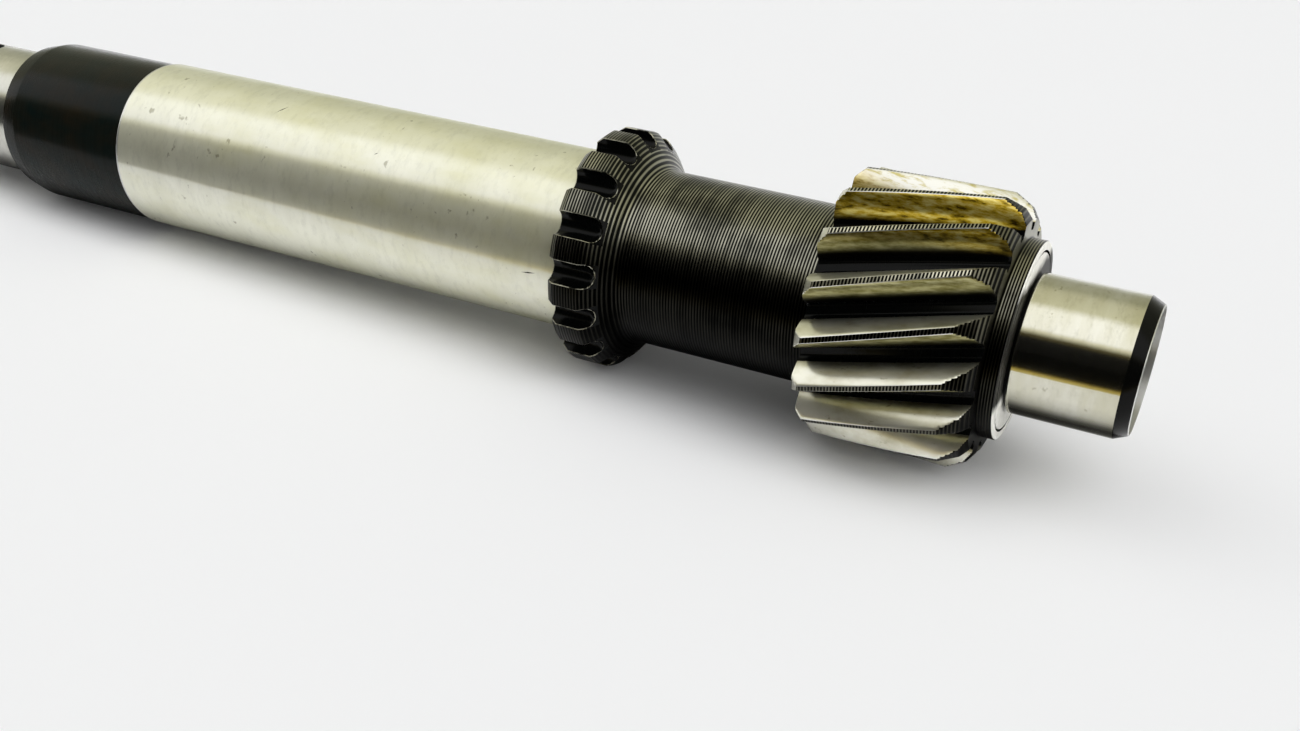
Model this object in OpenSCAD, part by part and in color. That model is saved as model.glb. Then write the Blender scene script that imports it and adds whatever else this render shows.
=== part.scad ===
// Built-up pinion shaft: a hollow stepped arbor that carries a free-running
// helical pinion with a ring of dog clutch teeth on the same sleeve.
// Axis along +X towards the pilot end, +Z up, origin on the axis in the
// middle of the main journal. All sizes in millimetres.
// Stations below are distances from the main journal's tail-side edge.

/* [Main journal] */
// Main journal diameter
journal_d = 28; // [20:0.5:40]
// Length of the ground journal sleeve
journal_len = 86.8; // [60:0.1:120]
// Diameter of the arbor under the journal sleeve
journal_seat_d = 23; // [18:0.5:30]

/* [Tail and drive stub] */
// Tail diameter, a little under the journal
tail_d = 27.5; // [20:0.1:40]
// Tail length up to the drive stub
tail_len = 27.5; // [15:0.5:60]
// Drive stub diameter
stub_d = 22; // [16:0.5:28]
// Drive stub length
stub_len = 22.5; // [15:0.5:50]
// Keyway width
keyway_w = 6; // [4:1:8]
// Keyway depth below the stub's surface
keyway_depth = 3.5; // [2:0.1:5]
// Keyway length, open at the stub's end
keyway_len = 10.3; // [6:0.1:20]

/* [Needle bearings] */
// Inner raceway diameter, on the arbor
race_inner_d = 18; // [14:0.5:22]
// Outer raceway diameter, in the sleeve
race_outer_d = 22; // [18:0.5:26]
// Needles in each row
needle_count = 18; // [12:1:24]
// Needle diameter
needle_d = 1.96; // [1.5:0.01:2.5]
// Needle length
needle_len = 9.8; // [6:0.1:16]
// Cage width
cage_w = 13; // [8:0.5:20]

/* [Dog ring and neck] */
// Dog clutch teeth
dog_count = 16; // [8:1:24]
// Dog ring diameter
dog_d = 36.6; // [30:0.1:50]
// Diameter across the floors of the dog gaps
dog_floor_d = 31.6; // [26:0.1:40]
// Width of each dog gap
dog_gap_w = 3.5; // [2:0.1:6]
// Angle of the first dog gap
dog_phase = 13.95; // [0:0.05:22.5]
// Neck diameter
neck_d = 26.5; // [24:0.1:30]

/* [Helical pinion] */
// Pinion teeth
teeth = 16; // [12:1:24]
// Normal module
module_n = 2; // [1:0.25:4]
// Helix angle, left hand
helix = 14.5; // [0:0.5:30]
// Normal pressure angle
pressure = 17.5; // [14.5:0.5:25]
// Profile shift in modules
shift = 0.6; // [0:0.05:0.8]
// Angle of the first tooth at the neck-side face
tooth_phase = 17.2; // [0:0.05:22.5]
// Diameter of the press seat under the pinion
seat_d = 25.8; // [24:0.1:28]
// Diameter of the pinion's rear hub
hub_d = 28.4; // [27:0.1:32]

/* [Pilot end] */
// Pilot journal diameter
pilot_d = 20; // [15:0.5:25]
// Nose diameter under the pilot ring
nose_d = 16; // [12:0.5:18]
// Oil gallery diameter
gallery_d = 6; // [4:0.5:8]

/* [Hidden] */
$fn = 96;
origin_s = journal_len / 2;
stub_end = -tail_len - stub_len;
journal_r = journal_d / 2;
race_in = race_inner_d / 2;
race_out = race_outer_d / 2;
race_mid = (race_in + race_out) / 2;
front_washer = [journal_len, journal_len + 1.5];
front_cage_s = 88.8;
rear_cage_s = 138.5;
ring_s = 87;
neck_s = 97.2;
gear_s = 126.2;
gear_end = 151;
core_end = 151.9;
rear_washer = [152, 153.5];
pilot_end = 170.5;
nose_end = 169.4;
snap_s = 167.75;
pitch_r = module_n * teeth / (2 * cos(helix));
press_t = atan(tan(pressure) / cos(helix));
base_r = pitch_r * cos(press_t);
tip_r = pitch_r + module_n * (1 + shift);
root_r = pitch_r - module_n * (1.25 - shift);
half_pitch = (90 / teeth) + (2 * shift * tan(pressure)) * 180 / PI / teeth;
twist_per_mm = tan(helix) / pitch_r * 180 / PI;
steel_dark = [0.13, 0.14, 0.14];
steel_bright = [0.78, 0.77, 0.72];
bronze = [0.66, 0.50, 0.30];

function involute(a) = tan(a) * 180 / PI - a;
function tooth_half(r) = half_pitch + involute(press_t) - involute(acos(min(1, base_r / r)));
function polar(r, a) = [r * cos(a), r * sin(a)];
function flank_r(i) = base_r + (tip_r - base_r) * i / 4;

// One tooth and the gap after it, as points going round the axis.
function tooth_points(c) = concat(
  [polar(root_r, c - tooth_half(base_r) - 0.9)],
  [polar(root_r + 0.18, c - tooth_half(base_r) - 0.1)],
  [for (i = [0:4]) polar(flank_r(i), c - tooth_half(flank_r(i)))],
  [for (i = [4:-1:0]) polar(flank_r(i), c + tooth_half(flank_r(i)))],
  [polar(root_r + 0.18, c + tooth_half(base_r) + 0.1)],
  [polar(root_r, c + tooth_half(base_r) + 0.9)]
);

// Stands a shape built along +Z onto the shaft's axis.
module on_axis() {
  translate([-origin_s, 0, 0]) rotate([0, 90, 0]) children();
}

module turned(points) {
  rotate_extrude() polygon(points);
}

module rod(r, s0, s1) {
  translate([0, 0, s0]) cylinder(r = r, h = s1 - s0);
}

module tube(r_in, r_out, s0, s1) {
  turned([[r_in, s0], [r_out, s0], [r_out, s1], [r_in, s1]]);
}

module around(count, phase = 0) {
  for (i = [0:count - 1]) rotate([0, 0, phase + i * 360 / count]) children();
}

module arbor_body() {
  turned([
    [0, stub_end], [stub_d / 2 - 0.8, stub_end], [stub_d / 2, stub_end + 0.8],
    [stub_d / 2, -tail_len], [tail_d / 2 - 0.85, -tail_len], [tail_d / 2, -24],
    [tail_d / 2, 0], [journal_seat_d / 2, 0], [journal_seat_d / 2, journal_len],
    [race_in, journal_len], [race_in, rear_washer[0]], [nose_d / 2, rear_washer[0]],
    [nose_d / 2, nose_end - 0.5], [nose_d / 2 - 0.5, nose_end], [0, nose_end]
  ]);
}

// The keyway's top is open and its floor is flat; its closed end is round.
module keyway() {
  translate([-stub_d / 2 + keyway_depth - 10, -keyway_w / 2, stub_end - 1])
    cube([10, keyway_w, keyway_len - keyway_w / 2 + 1]);
  translate([-stub_d / 2 + keyway_depth - 10, 0, stub_end + keyway_len - keyway_w / 2])
    rotate([0, 90, 0]) cylinder(d = keyway_w, h = 10);
}

module arbor_shaft() {
  color(steel_dark) on_axis() difference() {
    arbor_body();
    rod(gallery_d / 2, stub_end - 1, nose_end + 1);
    rod(5, stub_end - 1, stub_end + 12);
    rod(4, nose_end - 5, nose_end + 1);
    keyway();
    translate([0, 0, snap_s]) rotate_extrude() translate([nose_d / 2 + 0.05, 0]) circle(r = 0.72);
    for (s = [front_cage_s, rear_cage_s])
      translate([0, 0, s + cage_w / 2]) rotate([90, 0, 0]) cylinder(r = 1.25, h = 30, center = true);
  }
}

module journal_sleeve() {
  color(steel_bright) on_axis() turned([
    [journal_seat_d / 2, 0], [journal_r - 0.3, 0], [journal_r, 0.3],
    [journal_r, journal_len - 0.3], [journal_r - 0.3, journal_len], [journal_seat_d / 2, journal_len]
  ]);
}

module front_thrust_washer() {
  color(bronze) on_axis() difference() {
    tube(race_in + 0.03, 13.5, front_washer[0], front_washer[1]);
    around(4) translate([0, -0.8, front_washer[1] - 0.3]) cube([20, 1.6, 1]);
  }
}

module rear_thrust_washer() {
  color(steel_bright) on_axis() difference() {
    tube(nose_d / 2 + 0.02, 12.6, rear_washer[0], rear_washer[1]);
    around(4) translate([0, -0.8, rear_washer[0] - 0.7]) cube([20, 1.6, 1]);
  }
}

module cage(s) {
  color(bronze) on_axis() difference() {
    tube(race_mid - 0.7, race_mid + 0.7, s, s + cage_w);
    around(needle_count)
      translate([race_mid - 2, -needle_d / 2 - 0.05, s + (cage_w - needle_len) / 2 - 0.1])
        cube([4, needle_d + 0.1, needle_len + 0.2]);
  }
}

module needles(s) {
  color(steel_bright) on_axis() around(needle_count)
    translate([race_mid, 0, s + (cage_w - needle_len) / 2]) cylinder(d = needle_d, h = needle_len, $fn = 24);
}

module front_needle_cage() {
  cage(front_cage_s);
}

module front_needles() {
  needles(front_cage_s);
}

module rear_needle_cage() {
  cage(rear_cage_s);
}

module rear_needles() {
  needles(rear_cage_s);
}

module needle_spacer() {
  color(steel_dark) on_axis()
    tube(race_in + 0.05, race_out - 0.3, front_cage_s + cage_w + 0.3, rear_cage_s - 0.3);
}

module pilot_ring() {
  color(steel_bright) on_axis() turned([
    [nose_d / 2, rear_washer[1]], [pilot_d / 2 - 0.7, rear_washer[1]],
    [pilot_d / 2 - 0.7, 153.95], [pilot_d / 2 - 0.2, 153.95], [pilot_d / 2, 154.15],
    [pilot_d / 2, 168.6], [pilot_d / 2 - 0.85, pilot_end - 0.1], [pilot_d / 2 - 0.95, pilot_end],
    [nose_d / 2 + 0.9, pilot_end], [nose_d / 2 + 0.9, snap_s - 0.7], [nose_d / 2, snap_s - 0.7]
  ]);
}

module nose_snap_ring() {
  color(steel_dark) on_axis() translate([0, 0, snap_s])
    rotate_extrude(angle = 328) translate([nose_d / 2 + 0.05, 0]) circle(r = 0.68, $fn = 32);
}

module gallery_plug() {
  color(steel_dark) on_axis() difference() {
    turned([[0, nose_end - 4.8], [3.5, nose_end - 4.8], [4, nose_end - 4.3], [4, nose_end - 0.3], [0, nose_end - 0.3]]);
    translate([0, 0, nose_end - 3]) cylinder(d = 4.62, h = 5, $fn = 6);
  }
}

module dog_blank() {
  turned([
    [race_out, ring_s + 1.4], [race_out, core_end - 0.4], [race_out + 0.4, core_end], [seat_d / 2, core_end],
    [seat_d / 2, gear_s], [neck_d / 2, gear_s], [neck_d / 2, neck_s], [neck_d / 2 + 0.2, 96.4],
    [14, 95.8], [14.9, 95.3], [15.9, 94.7], [16.9, 93.9], [17.75, 93], [dog_d / 2, 92.2],
    [dog_d / 2, 88.2], [dog_d / 2 - 0.9, ring_s], [13.7, ring_s], [13.7, ring_s + 1.4]
  ]);
}

module dog_gap() {
  translate([dog_floor_d / 2, -dog_gap_w / 2, ring_s - 2]) cube([5, dog_gap_w, 7.55]);
  translate([dog_floor_d / 2, 0, 92.55]) rotate([0, 90, 0]) cylinder(d = dog_gap_w, h = 5);
}

module dowel_holes() {
  around(3, 30) translate([seat_d / 2, 0, core_end - 14]) cylinder(r = 1, h = 18, $fn = 32);
}

module dog_sleeve() {
  color(steel_dark) on_axis() difference() {
    dog_blank();
    around(dog_count, dog_phase) dog_gap();
    dowel_holes();
  }
}

module tooth_form() {
  polygon([for (i = [0:teeth - 1]) each tooth_points(tooth_phase + i * 360 / teeth)]);
}

module pinion_teeth() {
  intersection() {
    translate([0, 0, gear_s])
      linear_extrude(height = gear_end - gear_s, twist = twist_per_mm * (gear_end - gear_s), slices = 12)
        tooth_form();
    turned([
      [0, gear_s - 1], [18.6 - 1, gear_s - 1], [18.6, gear_s], [tip_r, gear_s + 1.2], [tip_r + 1, gear_s + 1.2],
      [tip_r + 1, 147.4], [tip_r, 147.4], [18.3, 150], [16.8, gear_end], [16.8, gear_end + 1], [0, gear_end + 1]
    ]);
  }
}

module helical_pinion() {
  color(steel_bright) on_axis() difference() {
    union() {
      pinion_teeth();
      rod(hub_d / 2, gear_s + 5, rear_washer[1] - 0.05);
    }
    rod(seat_d / 2, gear_s - 1, rear_washer[1] + 1);
    dowel_holes();
  }
}

module pinion_dowels() {
  color(steel_bright) on_axis() around(3, 30)
    translate([seat_d / 2, 0, core_end - 14]) cylinder(r = 0.98, h = 13.8, $fn = 32);
}

arbor_shaft();
journal_sleeve();
front_thrust_washer();
front_needle_cage();
front_needles();
needle_spacer();
rear_needle_cage();
rear_needles();
rear_thrust_washer();
pilot_ring();
nose_snap_ring();
gallery_plug();
dog_sleeve();
helical_pinion();
pinion_dowels();
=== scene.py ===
import math

import bmesh
import bpy
import numpy as np
from mathutils import Matrix, Vector


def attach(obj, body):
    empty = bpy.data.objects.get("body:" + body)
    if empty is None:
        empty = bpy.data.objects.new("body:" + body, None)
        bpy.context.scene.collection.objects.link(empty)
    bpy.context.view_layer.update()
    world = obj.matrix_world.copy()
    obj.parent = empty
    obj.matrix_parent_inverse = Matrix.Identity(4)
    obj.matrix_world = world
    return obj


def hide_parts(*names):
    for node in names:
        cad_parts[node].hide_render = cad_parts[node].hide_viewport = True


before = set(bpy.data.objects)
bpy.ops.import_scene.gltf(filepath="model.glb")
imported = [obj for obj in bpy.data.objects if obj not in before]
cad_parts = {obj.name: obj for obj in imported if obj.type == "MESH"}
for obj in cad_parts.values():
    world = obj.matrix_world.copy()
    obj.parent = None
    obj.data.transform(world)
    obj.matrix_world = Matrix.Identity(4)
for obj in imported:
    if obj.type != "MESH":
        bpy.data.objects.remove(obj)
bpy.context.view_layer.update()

MM = 0.001

# Stations along the shaft, in millimetres from the journal's tail-side edge; the frame's origin is ORIGIN
ORIGIN = 43.4
STUB_END = -50.0
TAIL_START = -27.5
TAIL_FULL = -24.0
JOURNAL_END = 86.8
DOG_FACE = 87.0
GEAR_START = 126.2
GEAR_END = 151.0
HUB_END = 153.45
PILOT_START = 153.5
PILOT_END = 170.5

# Radii, in millimetres
STUB_R = 11.0
TAIL_R = 13.75
JOURNAL_SEAT_R = 11.48
JOURNAL_R = 14.0
SPINDLE_R = 9.0
PILOT_SEAT_R = 7.98
PILOT_R = 10.0
GALLERY_R = 3.0
PLUG_R = 4.0
NECK_R = 13.25
DOG_R = 18.3
HUB_R = 14.2
HUB_BORE_R = 12.95

# The 16 dog gaps: U-shaped slots with a round floor and a round inner end
DOG_GAPS = 16
DOG_PITCH_DEG = 360.0 / DOG_GAPS
FIRST_GAP_DEG = 13.95
GAP_HALF_WIDTH = 1.75
GAP_FLOOR_R = 15.75
GAP_END = 92.85

# The pinion's teeth: module in millimetres, profile shift in modules
TEETH = 16
MODULE = 2.0
HELIX = math.radians(14.5)
PRESSURE_ANGLE = math.radians(17.5)
PROFILE_SHIFT = 0.6
FIRST_TOOTH_DEG = 17.2 - 90.0
PITCH_R = MODULE * TEETH / (2 * math.cos(HELIX))
TRANSVERSE_ANGLE = math.atan(math.tan(PRESSURE_ANGLE) / math.cos(HELIX))
BASE_R = PITCH_R * math.cos(TRANSVERSE_ANGLE)
TIP_R = PITCH_R + MODULE * (1 + PROFILE_SHIFT)
ROOT_R = PITCH_R - MODULE * (1.25 - PROFILE_SHIFT)
TWIST = math.tan(HELIX) / PITCH_R


# ---------------------------------------------------------------- mesh helpers
def at(station, radius, angle):
    """The point in metres at a station and radius, turned by angle from +Y towards +Z."""
    return ((station - ORIGIN) * MM, radius * math.cos(angle) * MM, radius * math.sin(angle) * MM)


def band(count, first, second):
    """The quads between two closed rings of count points, given where each ring starts."""
    quads = []
    for k in range(count):
        after = (k + 1) % count
        quads.append((first + k, first + after, second + after, second + k))
    return quads


def add_object(name, data):
    shape = bpy.data.objects.new(name, data)
    bpy.context.scene.collection.objects.link(shape)
    return shape


def shade_smooth(shape, sharp_deg):
    """Smooth shading, with a sharp edge wherever two faces meet at more than sharp_deg."""
    mesh = bmesh.new()
    mesh.from_mesh(shape.data)
    mesh.normal_update()
    limit = math.radians(sharp_deg)
    for face in mesh.faces:
        face.smooth = True
    for edge in mesh.edges:
        if len(edge.link_faces) == 2:
            edge.smooth = edge.calc_face_angle(0.0) < limit
    mesh.to_mesh(shape.data)
    mesh.free()


def turn_faces_out(shape, weld=0.0):
    """Points every face outwards, after welding points closer than weld metres."""
    mesh = bmesh.new()
    mesh.from_mesh(shape.data)
    if weld:
        bmesh.ops.remove_doubles(mesh, verts=mesh.verts, dist=weld)
        bmesh.ops.dissolve_degenerate(mesh, edges=mesh.edges, dist=weld)
    bmesh.ops.recalc_face_normals(mesh, faces=mesh.faces)
    mesh.to_mesh(shape.data)
    mesh.free()


def mesh_object(name, points, faces, materials, zones):
    """A mesh piece. zones gives each face's place in the list of materials."""
    mesh = bpy.data.meshes.new(name)
    mesh.from_pydata(points, [], faces)
    mesh.validate()
    for material in materials:
        mesh.materials.append(material)
    mesh.polygons.foreach_set("material_index", np.array(zones, dtype=np.int32))
    return add_object(name, mesh)


def lathe(name, profile, materials, zone_of=None, segments=288, sharp_deg=24.0):
    """Turns a closed loop of (station, radius) points. zone_of takes both ends of a stretch of it."""
    points = []
    for station, radius in profile:
        for k in range(segments):
            points.append(at(station, radius, 2 * math.pi * k / segments))
    faces, zones = [], []
    for i in range(len(profile)):
        j = (i + 1) % len(profile)
        faces += band(segments, i * segments, j * segments)
        zone = zone_of(*profile[i], *profile[j]) if zone_of else 0
        zones += [zone] * segments
    shape = mesh_object(name, points, faces, materials, zones)
    turn_faces_out(shape)
    shade_smooth(shape, sharp_deg)
    return shape


def chamfered(profile, size, keep=()):
    """The closed profile with a small chamfer at each corner, apart from the corners listed in keep."""
    out = []
    for i, corner in enumerate(profile):
        if i in keep:
            out.append(corner)
            continue
        corner = Vector(corner)
        before = Vector(profile[i - 1]) - corner
        after = Vector(profile[(i + 1) % len(profile)]) - corner
        reach = min(size, 0.4 * before.length, 0.4 * after.length)
        out.append(tuple(corner + before.normalized() * reach))
        out.append(tuple(corner + after.normalized() * reach))
    return out


def cut_away(shape, cutters):
    """Cuts closed solids, each given as points and faces, out of the shape."""
    solids = bmesh.new()
    for points, faces in cutters:
        corners = [solids.verts.new(point) for point in points]
        for face in faces:
            solids.faces.new([corners[k] for k in face])
    bmesh.ops.recalc_face_normals(solids, faces=solids.faces)
    mesh = bpy.data.meshes.new("cutter")
    solids.to_mesh(mesh)
    solids.free()
    tool = add_object("cutter", mesh)
    cut = shape.modifiers.new("cut", "BOOLEAN")
    cut.operation = "DIFFERENCE"
    cut.solver = "EXACT"
    cut.object = tool
    graph = bpy.context.evaluated_depsgraph_get()
    result = bpy.data.meshes.new_from_object(shape.evaluated_get(graph))
    shape.modifiers.clear()
    uncut = shape.data
    shape.data = result
    bpy.data.meshes.remove(uncut)
    bpy.data.objects.remove(tool)


# ---------------------------------------------------------------- node helpers
def grey(value):
    return (value, value, value)


def new_material(name):
    """An empty node material, its node tree and the surface socket of its output."""
    material = bpy.data.materials.new(name)
    material.use_nodes = True
    tree = material.node_tree
    tree.nodes.clear()
    output = tree.nodes.new("ShaderNodeOutputMaterial")
    return material, tree, output.inputs["Surface"]


def node(tree, kind, **settings):
    made = tree.nodes.new(kind)
    for key, value in settings.items():
        setattr(made, key, value)
    return made


def feed(tree, value, socket):
    """Links an output to the socket, or sets the socket to a colour or a number."""
    if isinstance(value, bpy.types.NodeSocket):
        tree.links.new(value, socket)
    elif isinstance(value, tuple):
        socket.default_value = (*value, 1.0)
    else:
        socket.default_value = value


def place(tree, kind="Object"):
    """X, Y and Z outputs of the surface point: metres in the part's frame, or a direction for the world."""
    coordinates = node(tree, "ShaderNodeTexCoord")
    split = node(tree, "ShaderNodeSeparateXYZ")
    tree.links.new(coordinates.outputs[kind], split.inputs[0])
    return split.outputs


def noise(tree, scale, detail=4.0, roughness=0.55):
    """Noise with its own scale along X, Y and Z: a large X scale gives fine rings round the shaft."""
    coordinates = node(tree, "ShaderNodeTexCoord")
    stretch = node(tree, "ShaderNodeMapping")
    stretch.inputs["Scale"].default_value = scale
    tree.links.new(coordinates.outputs["Object"], stretch.inputs["Vector"])
    pattern = node(tree, "ShaderNodeTexNoise")
    pattern.inputs["Scale"].default_value = 1.0
    pattern.inputs["Detail"].default_value = detail
    pattern.inputs["Roughness"].default_value = roughness
    tree.links.new(stretch.outputs["Vector"], pattern.inputs["Vector"])
    return pattern.outputs["Fac"]


def ramp(tree, value, stops):
    """A colour ramp through (position, colour) stops."""
    made = node(tree, "ShaderNodeValToRGB")
    elements = made.color_ramp.elements
    while len(elements) > 1:
        elements.remove(elements[0])
    elements[0].position = stops[0][0]
    elements[0].color = (*stops[0][1], 1.0)
    for position, colour in stops[1:]:
        elements.new(position).color = (*colour, 1.0)
    tree.links.new(value, made.inputs["Fac"])
    return made.outputs["Color"]


def mix_colours(tree, share, first, second, mode="MIX"):
    made = node(tree, "ShaderNodeMix", data_type="RGBA", blend_type=mode)
    feed(tree, share, made.inputs[0])
    feed(tree, first, made.inputs[6])
    feed(tree, second, made.inputs[7])
    return made.outputs[2]


def mix_shaders(tree, share, first, second):
    made = node(tree, "ShaderNodeMixShader")
    feed(tree, share, made.inputs[0])
    tree.links.new(first, made.inputs[1])
    tree.links.new(second, made.inputs[2])
    return made.outputs[0]


def calc(tree, operation, a, b=None):
    made = node(tree, "ShaderNodeMath", operation=operation)
    feed(tree, a, made.inputs[0])
    if b is not None:
        feed(tree, b, made.inputs[1])
    return made.outputs[0]


def add(tree, a, b):
    return calc(tree, "ADD", a, b)


def times(tree, a, b):
    return calc(tree, "MULTIPLY", a, b)


def fade(tree, value, low, high, interpolation="SMOOTHSTEP"):
    """0 where value is under low, 1 where it is over high, and a step between."""
    made = node(tree, "ShaderNodeMapRange", interpolation_type=interpolation)
    tree.links.new(value, made.inputs["Value"])
    made.inputs["From Min"].default_value = low
    made.inputs["From Max"].default_value = high
    return made.outputs["Result"]


def bump(tree, height, depth, strength=1.0, normal=None):
    """Bump of the given depth in metres, on top of an earlier normal if there is one."""
    made = node(tree, "ShaderNodeBump")
    made.inputs["Strength"].default_value = strength
    made.inputs["Distance"].default_value = depth
    tree.links.new(height, made.inputs["Height"])
    if normal is not None:
        tree.links.new(normal, made.inputs["Normal"])
    return made.outputs["Normal"]


def principled(tree, colour, metallic, roughness, normal=None, **settings):
    made = node(tree, "ShaderNodeBsdfPrincipled")
    feed(tree, colour, made.inputs["Base Color"])
    feed(tree, roughness, made.inputs["Roughness"])
    made.inputs["Metallic"].default_value = metallic
    if normal is not None:
        tree.links.new(normal, made.inputs["Normal"])
    for key, value in settings.items():
        made.inputs[key.replace("_", " ")].default_value = value
    return made.outputs["BSDF"]


def emission(tree, colour):
    made = node(tree, "ShaderNodeEmission")
    feed(tree, colour, made.inputs["Color"])
    return made.outputs[0]


# ---------------------------------------------------------------- surface patterns
def turned_grooves(tree, pitch_mm):
    """Height of lathe feed marks along the shaft, 0 to 1, with a little drift and unevenness."""
    drift = times(tree, noise(tree, (140, 40, 40), 2.0), 2.5)
    phase = times(tree, place(tree)["X"], 2 * math.pi / (pitch_mm * MM))
    wave = calc(tree, "SINE", add(tree, phase, drift))
    wave = add(tree, times(tree, wave, 0.5), 0.5)
    fine = times(tree, noise(tree, (9000, 90, 90), 2.0), 0.12)
    return add(tree, wave, fine)


def scuff(tree, start, end, width_mm):
    """1 on a thin tapering mark on the journal. Both ends are (station, degrees up from the near side)."""
    ends = []
    for station, degrees in (start, end):
        ends.append(Vector(at(station, JOURNAL_R, math.radians(180.0 - degrees))))
    middle = (ends[0] + ends[1]) / 2
    direction = (ends[1] - ends[0]).normalized()
    half_length = (ends[1] - ends[0]).length / 2
    coordinates = node(tree, "ShaderNodeTexCoord")
    offset = node(tree, "ShaderNodeVectorMath", operation="SUBTRACT")
    tree.links.new(coordinates.outputs["Object"], offset.inputs[0])
    offset.inputs[1].default_value = middle
    along = node(tree, "ShaderNodeVectorMath", operation="DOT_PRODUCT")
    tree.links.new(offset.outputs["Vector"], along.inputs[0])
    along.inputs[1].default_value = direction
    nearest = node(tree, "ShaderNodeVectorMath", operation="SCALE")
    nearest.inputs[0].default_value = direction
    tree.links.new(along.outputs["Value"], nearest.inputs["Scale"])
    across = node(tree, "ShaderNodeVectorMath", operation="DISTANCE")
    tree.links.new(offset.outputs["Vector"], across.inputs[0])
    tree.links.new(nearest.outputs["Vector"], across.inputs[1])
    from_middle = calc(tree, "DIVIDE", calc(tree, "ABSOLUTE", along.outputs["Value"]), half_length)
    limit = times(tree, calc(tree, "SUBTRACT", 1.0, from_middle), width_mm * MM)
    return calc(tree, "LESS_THAN", across.outputs["Value"], limit)


def height_share(tree, low_mm, high_mm):
    """0 below low_mm and 1 above high_mm over the shaft's axis, as the part lies."""
    return fade(tree, place(tree)["Z"], low_mm * MM, high_mm * MM)


def khaki_film(tree, tone, clean, strength):
    """Thin oil film in clouds, thicker towards the dog ring."""
    cloud = noise(tree, (75, 150, 150), 5.0, 0.62)
    cloud = add(tree, cloud, times(tree, place(tree)["X"], 1.6))
    stops = [(0.44, grey(0.10 * strength)), (0.60, grey(0.55 * strength)), (0.72, grey(strength))]
    film_tint = (0.80, 0.78, 0.50)
    overlay = tuple(a * b for a, b in zip(clean, film_tint))
    return mix_colours(tree, ramp(tree, cloud, stops), tone, overlay)


def brown_specks(tree, tone, strength):
    """Small brown specks in loose groups."""
    group = times(tree, noise(tree, (55, 120, 120), 3.0), 0.25)
    spot = add(tree, noise(tree, (700, 560, 560), 3.0, 0.5), group)
    cover = ramp(tree, spot, [(0.0, grey(0)), (0.815, grey(0)), (0.865, grey(strength))])
    return mix_colours(tree, cover, tone, (0.20, 0.17, 0.07))


# ---------------------------------------------------------------- materials
def ground_steel(
    name, clean, dull, sharp_roughness, soft_roughness, soft_share,
    specks=0.0, haze=grey(1.0), overlay=0.0, scuffs=(),
):
    """Fine ground steel: a sharp and a soft reflection, grinding lines round the axis, oil and specks."""
    material, tree, surface = new_material(name)
    lines = noise(tree, (14000, 110, 110), 3.0)
    broad = noise(tree, (220, 60, 60), 3.0)
    grain = noise(tree, (900, 420, 420), 5.0, 0.7)
    tone = ramp(tree, broad, [(0.3, dull), (0.62, clean), (0.8, clean)])
    tone = mix_colours(tree, times(tree, lines, 0.25), tone, dull)
    grain_cover = ramp(tree, grain, [(0.50, grey(0)), (0.70, grey(0.35))])
    tone = mix_colours(tree, grain_cover, tone, tuple(0.75 * c for c in dull))
    if overlay:
        tone = khaki_film(tree, tone, clean, overlay)
    if specks:
        tone = brown_specks(tree, tone, specks)
    for start, end, width in scuffs:
        tone = mix_colours(tree, scuff(tree, start, end, width), tone, (0.05, 0.045, 0.035))
    long_lines = times(tree, noise(tree, (3000, 25, 25), 2.0), 0.8)
    normal = bump(tree, add(tree, lines, long_lines), 0.0000035)
    normal = bump(tree, grain, 0.0000045, 1.0, normal)
    sharp = principled(tree, tone, 1.0, sharp_roughness, normal)
    soft = principled(tree, mix_colours(tree, 1.0, tone, haze, "MULTIPLY"), 1.0, soft_roughness, normal)
    tree.links.new(mix_shaders(tree, soft_share, sharp, soft), surface)
    return material


def black_steel(name, base, tint, roughness, specular):
    """Heat-blackened smooth steel with faint streaks round the axis, under a thin oil coat."""
    material, tree, surface = new_material(name)
    cloud = noise(tree, (120, 160, 160), 5.0, 0.62)
    streaks = noise(tree, (2600, 30, 30), 3.0)
    tone = ramp(tree, cloud, [(0.35, base), (0.7, tint)])
    tone = mix_colours(tree, times(tree, streaks, 0.5), tone, tuple(0.45 * c for c in base))
    uneven = ramp(tree, streaks, [(0.3, grey(roughness * 0.8)), (0.7, grey(roughness * 1.25))])
    coat = {"Coat_Weight": 1.0, "Coat_IOR": 1.17, "Coat_Roughness": 0.18}
    normal = bump(tree, streaks, 0.000006)
    shader = principled(tree, tone, 0.0, uneven, normal, Specular_IOR_Level=specular, **coat)
    tree.links.new(shader, surface)
    return material


def turned_steel(name, pitch_mm, ridge, valley, roughness, depth, heights_mm, low_share):
    """Oily black steel with lathe feed marks: the ridges rub bright and the grooves stay black.

    Under the lower of the two heights over the axis it keeps only low_share of its colour: painted shade on
    the underside, as the part lies.
    """
    material, tree, surface = new_material(name)
    wave = turned_grooves(tree, pitch_mm)
    worn = noise(tree, (700, 60, 60), 4.0, 0.6)
    patch = noise(tree, (110, 130, 130), 3.0)
    share = times(tree, wave, ramp(tree, worn, [(0.30, grey(0.74)), (0.60, grey(1.0))]))
    share = times(tree, share, ramp(tree, patch, [(0.35, grey(0.7)), (0.55, grey(1.0))]))
    tone = ramp(tree, share, [(0.42, valley), (0.9, ridge)])
    # painted shade: darker below the lower height over the axis, as the part lies
    above_painted_shade = height_share(tree, *heights_mm)
    kept = add(tree, times(tree, above_painted_shade, 1.0 - low_share), low_share)
    tone = mix_colours(tree, kept, grey(0.0), tone)
    normal = bump(tree, wave, depth)
    normal = bump(tree, noise(tree, (900, 260, 260), 5.0, 0.6), 0.00001, 0.5, normal)
    tree.links.new(principled(tree, tone, 1.0, roughness, normal), surface)
    return material


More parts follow.
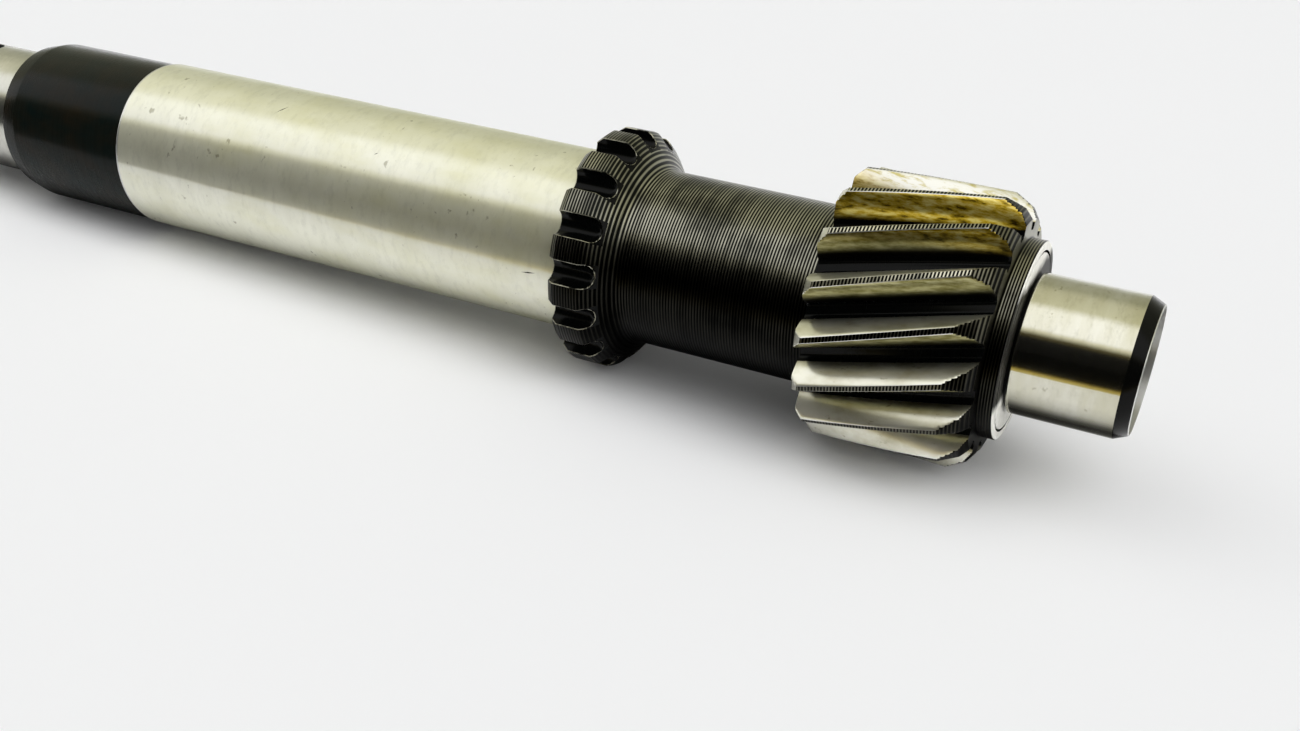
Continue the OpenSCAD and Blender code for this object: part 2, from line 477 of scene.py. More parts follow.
def hub_face():
    """Ground ring face, bright at its top and bottom and black across its middle: painted shade."""
    material, tree, surface = new_material("hub_face")
    # painted shade: black near this height over the axis, fading out 7.5 to 9.5 mm away
    painted_shade_middle = 3.0 * MM
    from_middle = calc(tree, "ABSOLUTE", calc(tree, "SUBTRACT", place(tree)["Z"], painted_shade_middle))
    wander = times(tree, noise(tree, (300, 300, 300), 4.0), 2.0 * MM)
    unshaded_share = fade(tree, add(tree, from_middle, wander), 7.5 * MM, 9.5 * MM)
    rings = noise(tree, (400, 900, 900), 3.0)
    clean = ramp(tree, rings, [(0.3, (0.80, 0.79, 0.72)), (0.7, (0.97, 0.96, 0.92))])
    tone = mix_colours(tree, unshaded_share, (0.015, 0.014, 0.011), clean)
    shader = principled(tree, tone, 0.12, 0.5, bump(tree, rings, 0.000004))
    tree.links.new(shader, surface)
    return material


def worn_edge():
    """Edge of a black part, rubbed bright in places."""
    material, tree, surface = new_material("worn_edge")
    rub = noise(tree, (500, 330, 330), 5.0, 0.65)
    stops = [(0.40, (0.02, 0.02, 0.016)), (0.56, (0.42, 0.41, 0.33)), (0.70, (0.72, 0.70, 0.60))]
    shader = principled(tree, ramp(tree, rub, stops), 1.0, 0.34, bump(tree, rub, 0.00001))
    tree.links.new(shader, surface)
    return material


def tooth_height(tree, cloud, low_mm, high_mm):
    """0 below one radius and 1 above the other, with an uneven border."""
    outputs = place(tree)
    across = times(tree, outputs["Y"], outputs["Y"])
    up = times(tree, outputs["Z"], outputs["Z"])
    radius = calc(tree, "SQRT", add(tree, across, up))
    radius = add(tree, radius, times(tree, cloud, 0.8 * MM))
    return fade(tree, radius, low_mm * MM, high_mm * MM)


def shaded_flank_tone(tree, cloud, streak):
    """Painted shade and painted reflection on one flank of each tooth: black at the root, olive above it,
    amber on the teeth at the top as the part lies, and bright on the far side, where this flank faces
    upwards.
    """
    olive = ramp(tree, streak, [(0.35, (0.26, 0.24, 0.08)), (0.65, (0.60, 0.57, 0.32))])
    # painted shade: black from the root to about 17 mm, then olive, a painted reflection
    overlay = mix_colours(tree, tooth_height(tree, cloud, 17.2, 19.4), (0.012, 0.011, 0.008), olive)
    amber_stops = [(0.34, (0.09, 0.055, 0.003)), (0.48, (0.66, 0.46, 0.035)), (0.64, (0.98, 0.84, 0.30))]
    # amber on the teeth at the top, as the part lies
    overlay = mix_colours(tree, height_share(tree, 14.5, 17.5), overlay, ramp(tree, streak, amber_stops))
    # painted light: bright on the far side, where this flank faces upwards
    far_side = fade(tree, place(tree)["Y"], -0.5 * MM, 2.5 * MM)
    painted_lit_tone = ramp(tree, streak, [(0.36, (0.62, 0.55, 0.24)), (0.52, (0.9, 0.89, 0.84))])
    return mix_colours(tree, far_side, overlay, painted_lit_tone)


def bright_tone(tree, cloud):
    """Clean ground steel with a few brown stains, brown towards the root: partly oil and partly painted
    shade.
    """
    stops = [(0.3, (0.66, 0.64, 0.50)), (0.55, (0.90, 0.89, 0.78)), (0.8, (0.97, 0.96, 0.89))]
    tone = ramp(tree, cloud, stops)
    # brown towards the root: partly oil and partly painted shade
    tone = mix_colours(tree, tooth_height(tree, cloud, 15.8, 18.0), (0.14, 0.12, 0.05), tone)
    stain = noise(tree, (330, 900, 900), 5.0, 0.65)
    cover = ramp(tree, stain, [(0.0, grey(0)), (0.62, grey(0)), (0.72, grey(0.7))])
    return mix_colours(tree, cover, tone, (0.22, 0.19, 0.09))


def gear_flank(name, shaded_copy):
    """Ground tooth flank, bright, or with painted shade and painted reflection for one side of each tooth."""
    material, tree, surface = new_material(name)
    cloud = noise(tree, (170, 300, 300), 4.0)
    streak = noise(tree, (240, 1700, 1700), 4.0, 0.6)
    tone = shaded_flank_tone(tree, cloud, streak) if shaded_copy else bright_tone(tree, cloud)
    normal = bump(tree, noise(tree, (1400, 700, 700), 3.0), 0.000005)
    normal = bump(tree, streak, 0.000012, 0.5, normal)
    sharp = principled(tree, tone, 1.0, 0.2, normal)
    soft = principled(tree, tone, 1.0, 0.5, normal)
    tree.links.new(mix_shaders(tree, 0.45, sharp, soft), surface)
    return material


# Scuffs on the journal: both ends as (station, degrees up from the near side), then the width
JOURNAL_SCUFFS = [
    ((29.4, 64.0), (31.0, 73.0), 0.11),
    ((80.4, -3.0), (82.9, -1.6), 0.12),
    ((51.0, 49.0), (51.7, 51.0), 0.07),
]

GROUND = ground_steel(
    "ground_journal", (1.0, 1.0, 0.98), (0.93, 0.93, 0.89), 0.12, 0.62, 0.68,
    specks=0.45, haze=(1.0, 1.0, 0.88), overlay=0.40, scuffs=JOURNAL_SCUFFS,
)
PILOT = ground_steel("ground_pilot", (0.78, 0.77, 0.69), (0.62, 0.60, 0.46), 0.09, 0.25, 0.10, specks=0.4)
BRIGHT_FACE = ground_steel("bright_face", (0.80, 0.79, 0.74), (0.60, 0.60, 0.54), 0.18, 0.4, 0.3)
RIM = ground_steel("bright_rim", (0.92, 0.92, 0.90), (0.8, 0.8, 0.78), 0.25, 0.5, 0.5)
BRONZE = ground_steel("bearing_bronze", (0.62, 0.42, 0.20), (0.42, 0.27, 0.12), 0.25, 0.5, 0.5)
NEEDLE = ground_steel("needle_steel", (0.85, 0.85, 0.86), (0.75, 0.75, 0.76), 0.08, 0.3, 0.2)

TAIL = black_steel("black_tail", (0.003, 0.008, 0.0075), (0.014, 0.010, 0.005), 0.28, 0.01)
BLACK = black_steel("black_smooth", (0.0015, 0.002, 0.002), (0.003, 0.003, 0.0025), 0.25, 0.03)
GLOSS = black_steel("black_gloss", (0.0015, 0.0017, 0.0015), (0.003, 0.003, 0.0025), 0.16, 0.04)
SPRING = black_steel("spring_steel", (0.03, 0.03, 0.034), (0.05, 0.05, 0.055), 0.35, 0.5)

# The two heights and the last share of each turned finish set its painted shade on the underside
NECK = turned_steel(
    "black_turned", 0.46, (0.44, 0.43, 0.35), (0.010, 0.011, 0.010), 0.28, 0.00003, (3.0, 9.5), 0.05
)
LAND = turned_steel(
    "turned_land", 0.46, (0.70, 0.68, 0.54), (0.006, 0.006, 0.005), 0.30, 0.00002, (2.0, 12.0), 0.22
)
HUB = turned_steel(
    "turned_hub", 0.40, (0.36, 0.35, 0.28), (0.004, 0.004, 0.003), 0.30, 0.00003, (3.0, 12.0), 0.10
)
TURNED_END = turned_steel(
    "turned_end", 0.46, (0.22, 0.21, 0.16), (0.004, 0.004, 0.003), 0.35, 0.00002, (2.0, 14.0), 0.18
)

HUB_FACE = hub_face()
WORN = worn_edge()
FLANK = gear_flank("flank_bright", False)
# the flank copy with painted shade and painted reflection, for one side of each tooth
SHADED_FLANK = gear_flank("flank_shaded", True)


# ---------------------------------------------------------------- shaft
def piece(shape, body, slot, *stands_for):
    """The shape rides on a body and stands for CAD nodes. The slot argument is not used."""
    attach(shape, body)
    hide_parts(*stands_for)


def keyway_solid():
    """The keyway's solid on the +Z side, with a round inner end and open at the stub's end."""
    length, half_width, floor_z, top_z, steps = 10.3, 3.0, 7.5, 14.0, 16
    outside = STUB_END - 2.0
    centre = STUB_END + length - half_width
    outline = [(outside, -half_width), (centre, -half_width)]
    for i in range(1, steps):
        turn = math.pi * i / steps
        outline.append((centre + half_width * math.sin(turn), -half_width * math.cos(turn)))
    outline += [(centre, half_width), (outside, half_width)]
    points = []
    for z in (floor_z, top_z):
        points += [((station - ORIGIN) * MM, y * MM, z * MM) for station, y in outline]
    count = len(outline)
    faces = [tuple(range(count)), tuple(range(2 * count - 1, count - 1, -1))]
    return points, faces + band(count, 0, count)


def arbor():
    """The main shaft: drive stub, black tail, journal seat, spindle for the needles and pilot seat."""
    groove_start, groove_r = -28.1, 10.75
    inlet_end, inlet_r = -38.0, 5.0
    clearance = 0.02
    seat_end = 152.0
    nose_end, plug_bore_end = 169.4, 164.4
    stub = [
        (STUB_END, inlet_r), (STUB_END, STUB_R - 0.8), (STUB_END + 0.8, STUB_R),
        (groove_start - 0.2, STUB_R), (groove_start, groove_r), (TAIL_START, groove_r),
    ]
    tail = [(TAIL_START, 12.9), (TAIL_FULL, TAIL_R), (-clearance, TAIL_R), (-clearance, JOURNAL_SEAT_R)]
    seats = [
        (JOURNAL_END, JOURNAL_SEAT_R), (JOURNAL_END, SPINDLE_R), (seat_end, SPINDLE_R),
        (seat_end, PILOT_SEAT_R), (nose_end - 0.5, PILOT_SEAT_R), (nose_end, 7.5), (nose_end, PLUG_R + 0.2),
        (nose_end - 0.2, PLUG_R),
    ]
    gallery = [
        (plug_bore_end, PLUG_R), (plug_bore_end, GALLERY_R), (inlet_end, GALLERY_R), (inlet_end, inlet_r),
    ]
    black_tail, bright, black = range(3)

    def zone_of(station, radius, next_station, next_radius):
        on_stub = STUB_END + 0.1 < station < -27 and next_station < -27
        if on_stub and min(radius, next_radius) > 9:
            return bright if station != next_station else black_tail
        return black if station >= 160 and radius > 3.5 else black_tail

    profile = chamfered(stub + tail + seats + gallery, 0.14)
    shape = lathe("arbor_turned", profile, [TAIL, BRIGHT_FACE, BLACK], zone_of)
    cut_away(shape, [keyway_solid()])
    shade_smooth(shape, 24)
    piece(shape, "arbor", "black_steel", "arbor_shaft")


def journal():
    """The ground journal sleeve, with a narrow bright chamfer at its tail side."""
    bore_r, edge, rim_end = 11.5, 0.22, 0.55
    profile = [
        (0.0, bore_r), (0.0, JOURNAL_R - edge), (edge, JOURNAL_R), (rim_end, JOURNAL_R),
        (JOURNAL_END - edge, JOURNAL_R), (JOURNAL_END, JOURNAL_R - edge), (JOURNAL_END, bore_r),
    ]
    ground, rim = range(2)

    def zone_of(station, radius, next_station, next_radius):
        return rim if max(station, next_station) < rim_end + 0.01 and radius > bore_r + 0.5 else ground

    profile = chamfered(profile, 0.06, keep=(3,))
    shape = lathe("journal_ground", profile, [GROUND, RIM], zone_of, segments=384)
    piece(shape, "arbor", "ground_steel", "journal_sleeve")


def pilot():
    """The ground pilot ring: a black step at its root, a black chamfer and a thin bright rim at its end."""
    bore_r, recess_r, recess_end = 8.0, 8.9, 167.05
    root_r, root_end = 9.3, 153.95
    chamfer_start, chamfer_end, chamfer_end_r = 168.55, 170.38, 9.17
    profile = [
        (PILOT_START, bore_r), (PILOT_START, root_r), (root_end, root_r), (root_end, 9.82),
        (root_end + 0.18, PILOT_R), (chamfer_start, PILOT_R), (chamfer_start + 0.13, 9.95),
        (chamfer_end, chamfer_end_r), (PILOT_END, 9.05), (PILOT_END, recess_r), (recess_end, recess_r),
        (recess_end, bore_r),
    ]
    ground, black, rim = range(3)

    def zone_of(station, radius, next_station, next_radius):
        smaller = min(radius, next_radius)
        if max(station, next_station) < root_end + 0.05:
            return black
        if station > chamfer_start - 0.05 and next_station < chamfer_end + 0.01 and smaller > 9.1:
            return black
        if station > chamfer_end - 0.08 and smaller > recess_r - 0.02:
            return rim
        return black if station > recess_end - 0.05 and radius < 9.0 else ground

    shape = lathe("pilot_ground", profile, [PILOT, GLOSS, RIM], zone_of, segments=320)
    piece(shape, "arbor", "ground_steel", "pilot_ring")


def plug():
    """The gallery plug with its hexagon socket."""
    count, edge, centre_r = 96, 0.2, 0.01
    socket_corner_r = 2.31
    face, socket_floor, back = 169.1, 166.4, 164.6

    def circle(radius):
        return lambda angle: radius

    def hexagon(scale):
        flat_r = socket_corner_r * math.cos(math.pi / 6) * scale
        return lambda angle: flat_r / math.cos((angle % (math.pi / 3)) - math.pi / 6)

    rings = [
        (back, circle(centre_r)), (back, circle(PLUG_R - 0.3)), (back + 0.3, circle(PLUG_R)),
        (face - edge, circle(PLUG_R)), (face, circle(PLUG_R - edge)), (face, hexagon(1.10)),
        (face - 0.25, hexagon(1.0)), (socket_floor, hexagon(1.0)), (socket_floor - 0.5, circle(centre_r)),
    ]
    points, faces = [], []
    for station, radius_at in rings:
        for k in range(count):
            angle = 2 * math.pi * k / count
            points.append(at(station, radius_at(angle), angle))
    for i in range(len(rings) - 1):
        faces += band(count, i * count, (i + 1) * count)
    shape = mesh_object("plug_socket", points, faces, [SPRING], [0] * len(faces))
    shade_smooth(shape, 24)
    piece(shape, "arbor", "black_steel", "gallery_plug")


def rear_washer():
    """The ground thrust washer between the hub and the pilot."""
    start, inner_r, outer_r = 152.0, 8.02, 12.6
    profile = [(start, inner_r), (start, outer_r), (PILOT_START, outer_r), (PILOT_START, inner_r)]
    shape = lathe("rear_washer_ground", chamfered(profile, 0.1), [HUB_FACE])
    piece(shape, "arbor", "ground_steel", "rear_thrust_washer")


# ---------------------------------------------------------------- dog ring and neck
def dog_gap_solid(turn_deg):
    """The solid of one dog gap: a U section swept along the shaft and closed by a round end."""
    outer_r, floor_steps, end_steps = 23.0, 10, 16
    straight_r = GAP_FLOOR_R + GAP_HALF_WIDTH
    section = [(-GAP_HALF_WIDTH, outer_r), (-GAP_HALF_WIDTH, straight_r)]
    for k in range(1, floor_steps):
        turn = math.pi * k / floor_steps
        section.append((-GAP_HALF_WIDTH * math.cos(turn), straight_r - GAP_HALF_WIDTH * math.sin(turn)))
    section += [(GAP_HALF_WIDTH, straight_r), (GAP_HALF_WIDTH, outer_r)]
    # each slice of the round end is the same section, made narrower
    slices = [(DOG_FACE - 3.0, 1.0)]
    for k in range(end_steps // 2):
        turn = math.pi * k / end_steps
        slices.append((GAP_END + GAP_HALF_WIDTH * math.sin(turn), math.cos(turn)))
    rotation = Matrix.Rotation(math.radians(turn_deg), 3, "X")
    points, faces = [], []
    for station, narrowing in slices:
        for across, radius in section:
            if radius < straight_r:
                radius = straight_r - (straight_r - radius) * narrowing
            corner = Vector(((station - ORIGIN) * MM, radius * MM, across * narrowing * MM))
            points.append(tuple(rotation @ corner))
    count = len(section)
    for i in range(len(slices) - 1):
        faces += band(count, i * count, (i + 1) * count)
    faces.append(tuple(range(count)))
    faces.append(tuple(range(len(points) - 1, len(points) - 1 - count, -1)))
    return points, faces


def blacken_gaps(shape, zone):
    """Gives the faces inside the gaps, on the front face and in the bore the smooth black material."""
    half_pitch = DOG_PITCH_DEG / 2
    for face in shape.data.polygons:
        x, y, z = face.center
        station = x / MM + ORIGIN
        radius = math.hypot(y, z) / MM
        turn = math.degrees(math.atan2(z, y)) - FIRST_GAP_DEG
        from_gap = (turn + half_pitch) % DOG_PITCH_DEG - half_pitch
        across = abs(math.sin(math.radians(from_gap)) * radius)
        in_gap = station < 95 and across <= GAP_HALF_WIDTH + 0.02 and radius > GAP_FLOOR_R - 0.1
        if in_gap or station < DOG_FACE + 0.05 or radius < 12.5:
            face.material_index = zone


def rub_edges(shape, zone):
    """A narrow bevel on every sharp edge, in the worn material."""
    bevel = shape.modifiers.new("edge", "BEVEL")
    bevel.width = 0.12 * MM
    bevel.material = zone
    bevel.segments = 2
    bevel.limit_method = "ANGLE"
    bevel.angle_limit = math.radians(34)
    bevel.harden_normals = False
    bevel.use_clamp_overlap = False


def dog_and_neck():
    """The turned sleeve: dog ring, its curved shoulder, grooved neck and the spigot inside the pinion."""
    counterbore_end, bore_r, spigot_end, spigot_r = 88.4, 11.0, 151.9, 12.88
    bore = [(counterbore_end, bore_r), (151.5, bore_r), (spigot_end, 11.4), (spigot_end, spigot_r)]
    neck = [(GEAR_START, spigot_r), (GEAR_START, NECK_R)]
    shoulder = [
        (97.6, NECK_R), (97.0, 13.29), (96.5, 13.45), (96.1, 13.7), (95.75, 14.1), (95.4, 14.7),
        (95.0, 15.3), (94.5, 15.95), (93.9, 16.7), (93.2, 17.45), (92.65, 17.95), (92.2, 18.22),
        (91.95, DOG_R),
    ]
    front = [(88.3, DOG_R), (88.15, DOG_R - 0.05), (DOG_FACE + 0.1, 17.45), (DOG_FACE, 17.3)]
    counterbore = [(DOG_FACE, 13.9), (DOG_FACE + 0.15, 13.7), (counterbore_end, 13.7)]
    black, worn = 1, 2
    profile = bore + neck + shoulder + front + counterbore
    shape = lathe("dog_ring_turned", profile, [NECK, BLACK, WORN], segments=320, sharp_deg=30)
    cut_away(shape, [dog_gap_solid(FIRST_GAP_DEG + DOG_PITCH_DEG * i) for i in range(DOG_GAPS)])
    blacken_gaps(shape, black)
    shade_smooth(shape, 30)
    rub_edges(shape, worn)
    piece(shape, "pinion", "black_steel", "dog_sleeve")


# ---------------------------------------------------------------- pinion
# Zones of the pinion's surface, in the order of PINION_MATERIALS
(
    BRIGHT_SIDE, TIP, ROOT, TIP_EDGE, LEFT_BEVEL, RIGHT_BEVEL, END_FACE, HUB_SIDE, HUB_RING, SHADED_SIDE,
) = range(10)
PINION_MATERIALS = [FLANK, LAND, BLACK, RIM, FLANK, TURNED_END, TURNED_END, HUB, HUB_FACE, SHADED_FLANK]

# Where the bevels of the tooth ends start and stop, and the radii they reach
LEFT_BEVEL_STOP = 127.4
RIGHT_BEVEL_START = 147.4
RIGHT_BEVEL_STOP = 150.0
LEFT_BEVEL_R = 18.6
RIGHT_BEVEL_R = 18.3
RIGHT_END_R = 16.8
EDGE_BREAK = 0.12


def involute(angle):
    return math.tan(angle) - angle


def half_tooth(radius):
    """Half of the tooth's angle at a radius."""
    at_pitch = math.pi / (2 * TEETH) + 2 * PROFILE_SHIFT * math.tan(PRESSURE_ANGLE) / TEETH
    return at_pitch + involute(TRANSVERSE_ANGLE) - involute(math.acos(min(1.0, BASE_R / radius)))


def half_profile():
    """(angle from the tooth's middle, radius, zone) points, from the gap's middle up to the tip."""
    half_pitch = math.pi / TEETH
    flank_r = BASE_R + 0.25
    flank_top_r = TIP_R - 0.07
    flank_foot = half_tooth(flank_r)
    floor_edge = flank_foot + 0.5 / ROOT_R
    points = []
    for k in range(3):
        points.append((half_pitch + (floor_edge - half_pitch) * k / 3, ROOT_R, ROOT))
    for k in range(6):
        turn = math.pi / 2 * k / 5
        angle = floor_edge - (floor_edge - flank_foot) * math.sin(turn)
        points.append((angle, ROOT_R + (flank_r - ROOT_R) * (1 - math.cos(turn)), ROOT))
    for k in range(1, 13):
        radius = flank_r + (flank_top_r - flank_r) * k / 12
        points.append((half_tooth(radius), radius, BRIGHT_SIDE))
    tip = half_tooth(TIP_R)
    points.append((tip - 0.05 / TIP_R, TIP_R, TIP_EDGE))
    points.append((tip * 0.5, TIP_R, TIP))
    return points


def tooth_outline():
    """The toothed outline as (angle, radius, zone) points. One side of each tooth takes the flank copy with
    painted shade.
    """
    half = half_profile()
    tooth = [(-angle, radius, zone) for angle, radius, zone in half]
    for angle, radius, zone in reversed(half):
        tooth.append((angle, radius, SHADED_SIDE if zone == BRIGHT_SIDE else zone))
    outline = []
    for i in range(TEETH):
        middle = math.radians(FIRST_TOOTH_DEG) + 2 * math.pi * i / TEETH
        outline += [(middle + angle, radius, zone) for angle, radius, zone in tooth[:-1]]
    return outline


def steps_to(start, stop, count):
    """Evenly spaced values after start, up to stop."""
    return [start + (stop - start) * k / count for k in range(1, count + 1)]


def gear_stations():
    """Stations of the outline's copies, closer together where the tooth ends are bevelled."""
    stations = [GEAR_START, GEAR_START + EDGE_BREAK]
    stations += steps_to(GEAR_START + EDGE_BREAK, LEFT_BEVEL_STOP, 5)
    stations += steps_to(LEFT_BEVEL_STOP, RIGHT_BEVEL_START, 40)
    stations += steps_to(RIGHT_BEVEL_START, RIGHT_BEVEL_STOP, 8)
    stations += steps_to(RIGHT_BEVEL_STOP, GEAR_END, 5)
    return stations


def tip_limit(station):
    """The largest radius at a station: the teeth are bevelled at both ends."""
    if station < LEFT_BEVEL_STOP:
        rise = (station - GEAR_START) / (LEFT_BEVEL_STOP - GEAR_START)
        broken = EDGE_BREAK if station < GEAR_START + 0.05 else 0.0
        return LEFT_BEVEL_R + (TIP_R - LEFT_BEVEL_R) * rise - broken
    if station <= RIGHT_BEVEL_START:
        return TIP_R + 1
    if station <= RIGHT_BEVEL_STOP:
        fall = (station - RIGHT_BEVEL_START) / (RIGHT_BEVEL_STOP - RIGHT_BEVEL_START)
        return TIP_R + (RIGHT_BEVEL_R - TIP_R) * fall
    fall = (station - RIGHT_BEVEL_STOP) / (GEAR_END - RIGHT_BEVEL_STOP)
    return RIGHT_BEVEL_R + (RIGHT_END_R - RIGHT_BEVEL_R) * fall


def tooth_zone(first, second, middle):
    """The zone of the face between two outline points, at the station in the face's middle."""
    if (first[1] + second[1]) / 2 > tip_limit(middle):
        return LEFT_BEVEL if middle < (GEAR_START + GEAR_END) / 2 else RIGHT_BEVEL
    both = {first[2], second[2]}
    return next(zone for zone in (ROOT, TIP, TIP_EDGE, SHADED_SIDE, BRIGHT_SIDE) if zone in both)


def pinion():
    """The helical pinion and its grooved hub."""
    outline = tooth_outline()
    count = len(outline)
    stations = gear_stations()
    points, faces, zones = [], [], []
    for station in stations:
        for angle, radius, zone in outline:
            turned = angle - TWIST * (station - GEAR_START)
            points.append(at(station, min(radius, tip_limit(station)), turned))
    for i in range(len(stations) - 1):
        faces += band(count, i * count, (i + 1) * count)
        middle = (stations[i] + stations[i + 1]) / 2
        zones += [tooth_zone(outline[k], outline[(k + 1) % count], middle) for k in range(count)]

    def close(start_station, previous, rings):
        """Adds rings of (station, radius, zone) after the ring at previous and gives the last one's start."""
        for station, radius, zone in rings:
            ring = len(points)
            for angle, _, _ in outline:
                points.append(at(station, radius, angle - TWIST * (start_station - GEAR_START)))
            faces.extend(band(count, previous, ring))
            zones.extend([zone] * count)
            previous = ring
        return previous

    left = close(GEAR_START, 0, [(GEAR_START, HUB_R, END_FACE), (GEAR_START, HUB_BORE_R, END_FACE)])
    hub = [
        (GEAR_END, 14.9, HUB_SIDE), (GEAR_END + 0.06, 14.45, HUB_SIDE), (GEAR_END + 0.16, HUB_R, HUB_SIDE),
        (153.2, HUB_R, HUB_SIDE), (153.33, 14.12, HUB_SIDE), (HUB_END, 13.98, HUB_RING),
        (HUB_END, HUB_BORE_R, HUB_RING),
    ]
    right = close(GEAR_END, (len(stations) - 1) * count, hub)
    faces += band(count, left, right)
    zones += [ROOT] * count
    shape = mesh_object("pinion_cut", points, faces, PINION_MATERIALS, zones)
    turn_faces_out(shape, weld=1e-7)
    shade_smooth(shape, 26)
    piece(shape, "pinion", "gear_steel", "helical_pinion")


# ---------------------------------------------------------------- CAD nodes that stay
CAD_NODE_MATERIALS = {
    "front_thrust_washer": BRONZE,
    "front_needle_cage": BRONZE,
    "rear_needle_cage": BRONZE,
    "front_needles": NEEDLE,
    "rear_needles": NEEDLE,
    "pinion_dowels": NEEDLE,
    "needle_spacer": SPRING,
    "nose_snap_ring": SPRING,
}


def dress_cad_nodes():
    for name, material in CAD_NODE_MATERIALS.items():
        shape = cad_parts[name]
        for slot in shape.material_slots:
            slot.material = material
        if not shape.material_slots:
            shape.data.materials.append(material)


# ---------------------------------------------------------------- stage
# The shaft lies on the pinion's tips and the edge of the tail, so the floor slopes a little under it.
FLOOR_AT_TAIL = Vector(((TAIL_FULL - ORIGIN) * MM, 0.0, -13.78 * MM))
FLOOR_AT_PINION = Vector(((LEFT_BEVEL_STOP - ORIGIN) * MM, 0.0, -19.76 * MM))
FLOOR_ALONG = (FLOOR_AT_PINION - FLOOR_AT_TAIL).normalized()
FLOOR_MIDDLE = (FLOOR_AT_TAIL + FLOOR_AT_PINION) / 2


def stage_piece(name, points, faces, material):
    mesh = bpy.data.meshes.new(name)
    mesh.from_pydata(points, [], faces)
    mesh.materials.append(material)
    shape = add_object(name, mesh)
    return shape


def show_in_reflections_only(shape):
    shape.visible_camera = False
    shape.visible_diffuse = False
    shape.visible_shadow = False
    shape.visible_transmission = False


def floor_rectangle(x_low, x_high, y_low, y_high, lift=0.0):
    """Corners of a rectangle along the sloping floor, in metres from its middle."""
    middle = FLOOR_MIDDLE + Vector((0, 0, lift))
    corners = ((x_low, y_low), (x_high, y_low), (x_high, y_high), (x_low, y_high))
    return [tuple(middle + FLOOR_ALONG * x + Vector((0, y, 0))) for x, y in corners]


def studio_floor():
    material, tree, surface = new_material("studio_floor")
    cloud = noise(tree, (6, 6, 6), 2.0)
    tone = ramp(tree, cloud, [(0.3, (0.926, 0.93, 0.938)), (0.7, (0.934, 0.938, 0.945))])
    tree.links.new(principled(tree, tone, 0.0, 0.9, Specular_IOR_Level=0.0), surface)
    reach = 6.0
    stage_piece("studio_floor", floor_rectangle(-reach, reach, -reach, reach), [(0, 1, 2, 3)], material)


def front_flag():
    """Dark flag curved round the near side, seen only in reflections, with an amber lower edge."""
    radius, low_deg, high_deg, steps = 60 * MM, -18.5, 14.0, 8
    ends = (-0.6, 0.7)
    material, tree, surface = new_material("front_flag")
    below_axis = times(tree, place(tree)["Z"], -1.0 / radius)
    tone = ramp(tree, below_axis, [
        (0.0, grey(0.002)), (0.17, grey(0.003)), (0.215, (0.10, 0.07, 0.01)), (0.25, (0.45, 0.34, 0.07)),
        (0.31, (0.60, 0.50, 0.16)),
    ])
    tree.links.new(emission(tree, tone), surface)
    points, faces = [], []
    for k in range(steps + 1):
        angle = math.radians(low_deg + (high_deg - low_deg) * k / steps)
        for x in ends:
            points.append((x, -radius * math.cos(angle), radius * math.sin(angle)))
    for k in range(steps):
        faces.append((2 * k, 2 * k + 1, 2 * k + 3, 2 * k + 2))
    show_in_reflections_only(stage_piece("front_flag", points, faces, material))


def contact_card():
    """Deep contact shadow seen only in reflections: a dark strip just over the floor, under the shaft."""
    near, far, tail_side, pilot_side = -24 * MM, 26 * MM, -130 * MM, 121 * MM
    material, tree, surface = new_material("contact_card")
    across = fade(tree, place(tree)["Y"], near, far, "LINEAR")
    clear = ramp(tree, across, [
        (0.0, grey(1.0)), (0.15, grey(0.84)), (0.23, grey(0.68)), (0.29, grey(0.38)), (0.35, grey(0.12)),
        (0.43, grey(0.04)), (0.55, grey(0.10)), (0.74, grey(0.55)), (0.90, grey(1.0)),
    ])
    see_through = node(tree, "ShaderNodeBsdfTransparent").outputs[0]
    tree.links.new(mix_shaders(tree, clear, emission(tree, grey(0.0)), see_through), surface)
    points = floor_rectangle(tail_side, pilot_side, near, far, lift=0.06 * MM)
    show_in_reflections_only(stage_piece("contact_card", points, [(0, 1, 2, 3)], material))


# ---------------------------------------------------------------- light and camera
def around_axis(stops):
    """Ramp stops given in degrees round the shaft's axis, from the near side up over the top."""
    return [(degrees / 360.0 + 0.5, colour) for degrees, colour in stops]


# What reflections see: a dark room in front, a wide soft box above and a grey wall behind
REFLECTED = around_axis([
    (-180, grey(0.60)), (-14, (0.50, 0.50, 0.46)), (-4, (0.20, 0.15, 0.05)), (2, grey(0.004)),
    (34, grey(0.004)), (40, (0.05, 0.04, 0.01)), (46, (0.60, 0.58, 0.44)), (52, grey(1.0)),
    (84, (1.0, 1.0, 0.97)), (96, (0.58, 0.57, 0.42)), (122, (0.50, 0.49, 0.36)), (138, (0.33, 0.33, 0.24)),
    (160, (0.32, 0.32, 0.25)), (172, (0.46, 0.47, 0.42)), (180, grey(0.60)),
])

# What lights the floor: a dome with a long soft box overhead, brighter towards the pilot's end
DOME = around_axis([
    (0, grey(0.10)), (40, grey(0.22)), (60, grey(0.55)), (70, grey(1.0)), (92, grey(1.0)),
    (102, grey(0.38)), (114, grey(0.16)), (180, grey(0.06)),
])
REFLECTED_STRENGTH = 1.25
DOME_STRENGTH = 1.35
DOME_PILOT_END_STRENGTH = 6.74
BACKDROP = 0.886


def background(tree, colour, strength):
    made = node(tree, "ShaderNodeBackground")
    feed(tree, colour, made.inputs["Color"])
    feed(tree, strength, made.inputs["Strength"])
    return made.outputs[0]


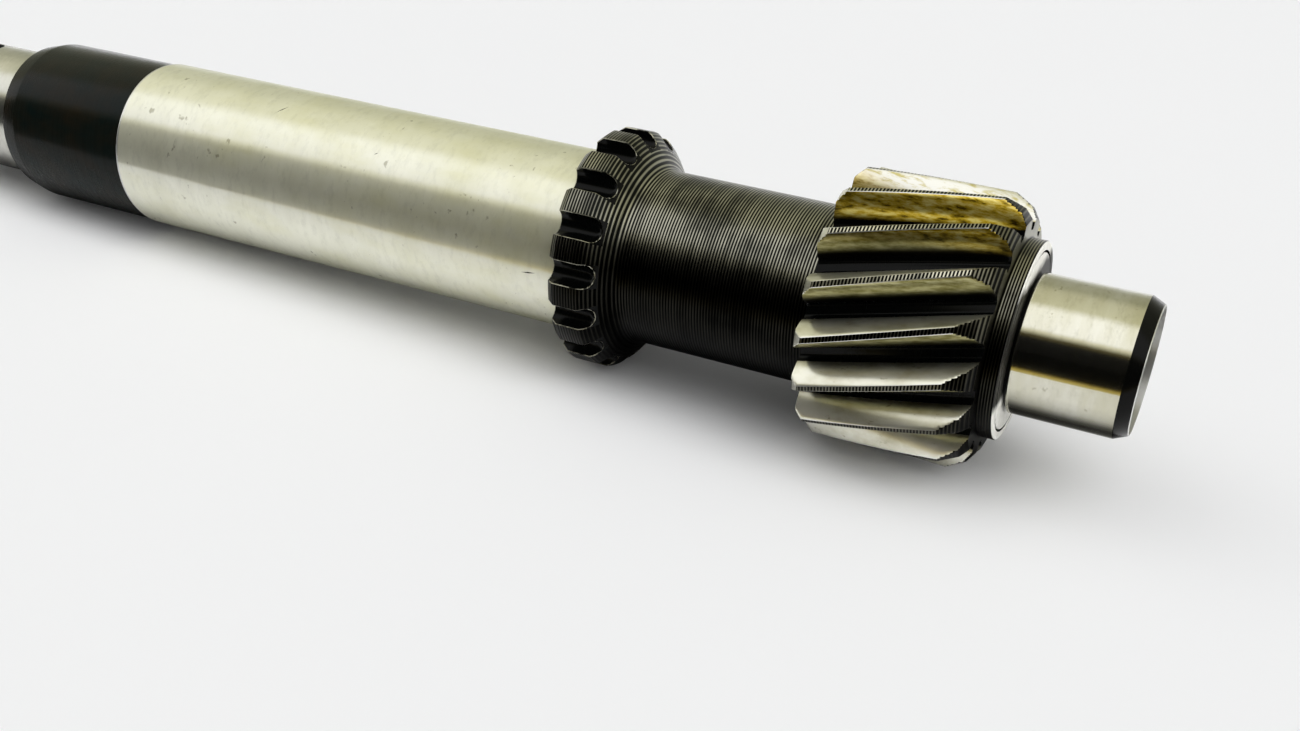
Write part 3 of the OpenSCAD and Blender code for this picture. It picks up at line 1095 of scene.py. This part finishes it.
def studio_light():
    """The world: a plain backdrop for the camera, a dome for the light and a studio for the reflections."""
    world = bpy.data.worlds.new("studio")
    bpy.context.scene.world = world
    world.use_nodes = True
    tree = world.node_tree
    tree.nodes.clear()
    direction = place(tree, "Generated")
    turn = calc(tree, "ARCTAN2", direction["Z"], times(tree, direction["Y"], -1.0))
    turn_share = add(tree, calc(tree, "DIVIDE", turn, 2 * math.pi), 0.5)
    towards_pilot = calc(tree, "MAXIMUM", direction["X"], 0.0)
    extra = times(tree, times(tree, towards_pilot, towards_pilot), DOME_PILOT_END_STRENGTH)
    reflected = background(tree, ramp(tree, turn_share, REFLECTED), REFLECTED_STRENGTH)
    dome = background(tree, ramp(tree, turn_share, DOME), add(tree, extra, DOME_STRENGTH))
    backdrop = background(tree, grey(BACKDROP), 1.0)
    ray = node(tree, "ShaderNodeLightPath")
    lit = mix_shaders(tree, ray.outputs["Is Diffuse Ray"], reflected, dome)
    seen = mix_shaders(tree, ray.outputs["Is Camera Ray"], lit, backdrop)
    output = node(tree, "ShaderNodeOutputWorld")
    tree.links.new(seen, output.inputs["Surface"])


def camera():
    """The camera, on the near side of the pilot's end and above it."""
    lens = bpy.data.cameras.new("camera")
    lens.sensor_width = 36.0
    lens.lens = 38.4
    lens.shift_y = 0.1
    lens.clip_start = 0.01
    lens.clip_end = 30
    back = Vector((0.3562, -0.7550, 0.5505)).normalized()
    up = back.cross(Vector((0.8947, 0.4456, 0.0322)).normalized()).normalized()
    right = up.cross(back)
    eye = Vector(((181.6 - ORIGIN) * MM, -179.75 * MM, 87.06 * MM))
    shape = add_object("camera", lens)
    shape.matrix_world = Matrix.Translation(eye) @ Matrix((right, up, back)).transposed().to_4x4()
    bpy.context.scene.camera = shape


# ---------------------------------------------------------------- scene
arbor()
journal()
pilot()
plug()
rear_washer()
dog_and_neck()
pinion()
dress_cad_nodes()
studio_floor()
front_flag()
contact_card()
studio_light()
camera()
bpy.context.scene.view_settings.view_transform = "Standard"
bpy.context.scene.view_settings.look = "None"
